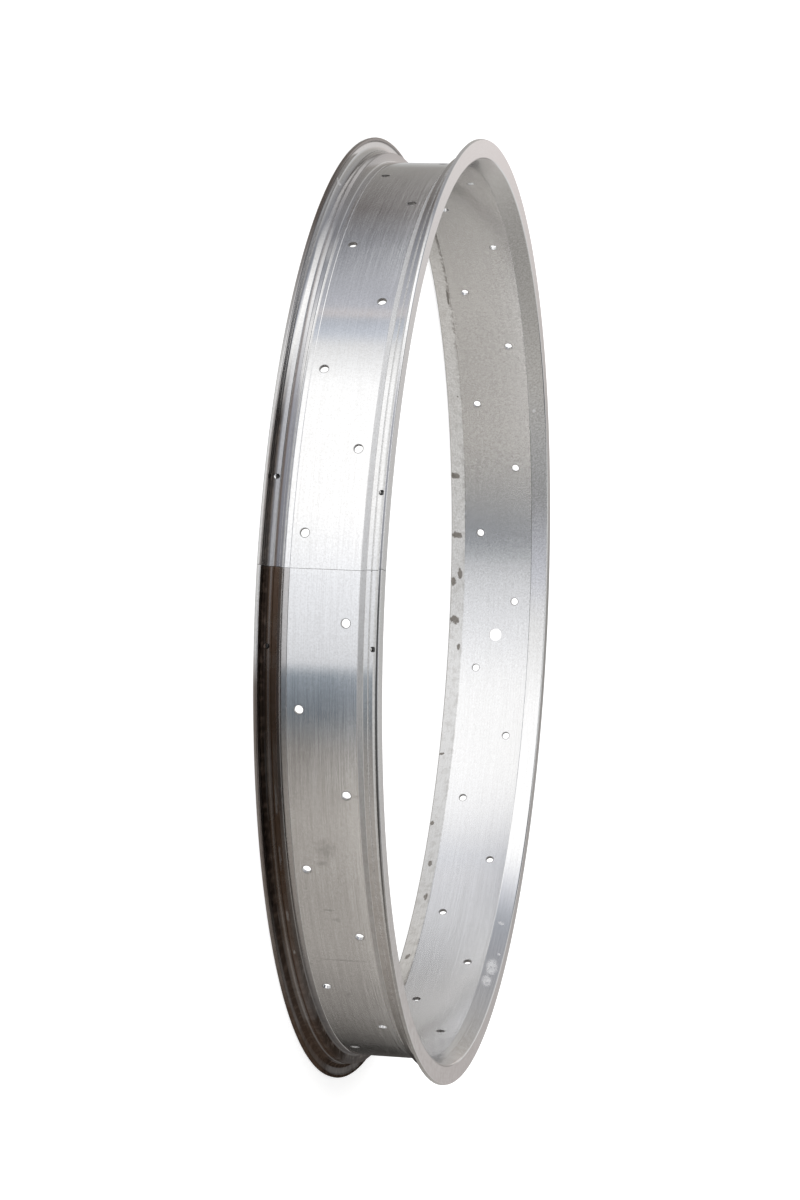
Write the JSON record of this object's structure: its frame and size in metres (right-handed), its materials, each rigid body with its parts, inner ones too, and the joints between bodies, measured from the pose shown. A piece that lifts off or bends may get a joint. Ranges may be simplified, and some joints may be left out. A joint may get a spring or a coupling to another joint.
{
  "type": "bicycle rim",
  "caption": "Wide raw aluminium bicycle rim with raised flanges, a dropped well, staggered spoke holes, a valve hole and a sleeved butt seam.",
  "frame": {"origin": "wheel centre, on the axis and in the middle plane of the rim", "axes": "+Z along the wheel's axis, up with the rim lying on its lower flange; +Y from the wheel centre to the valve hole"},
  "size_m": [0.576, 0.576, 0.068],
  "materials": {
    "rim_aluminium": "raw, extruded and brushed along the hoop",
    "sleeve_aluminium": "raw, as sawn"
  },
  "bodies": {
    "root": {"rim": "rim_aluminium", "upper_joint_sleeve": "sleeve_aluminium", "lower_joint_sleeve": "sleeve_aluminium"}
  },
  "joints": []
}
